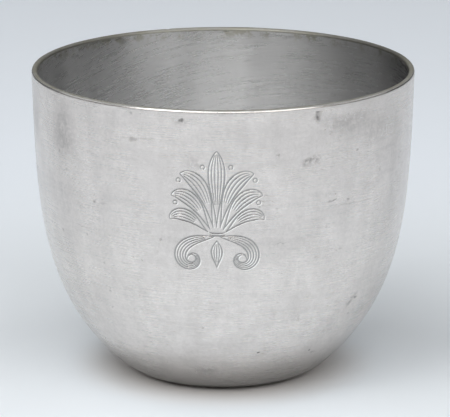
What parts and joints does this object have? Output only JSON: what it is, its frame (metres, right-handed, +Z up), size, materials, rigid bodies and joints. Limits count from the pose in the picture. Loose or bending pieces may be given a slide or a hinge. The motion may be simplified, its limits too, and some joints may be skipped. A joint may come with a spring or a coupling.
{
  "type": "jefferson cup",
  "caption": "Small round-bottomed pewter drinking cup without foot or handle, with a soldered lip wire and a disc that closes the floor",
  "frame": {"origin": "centre of the standing ring, on the surface that the cup stands on", "axes": "+Z up along the cup's axis of revolution; +Y to the back; the engraved side faces -Y"},
  "size_m": [0.0794, 0.0794, 0.0643],
  "materials": {
    "spun_pewter": "pewter, satin finish with fine rings round the cup, lightly scratched and spotted with age",
    "turned_disc_pewter": "pewter, turned in fine rings, duller than the wall",
    "lip_pewter": "pewter, rounded and worn bright along its top"
  },
  "bodies": {
    "root": {"cup_body": "spun_pewter", "base_disc": "turned_disc_pewter", "rim_wire": "lip_pewter"}
  },
  "joints": []
}
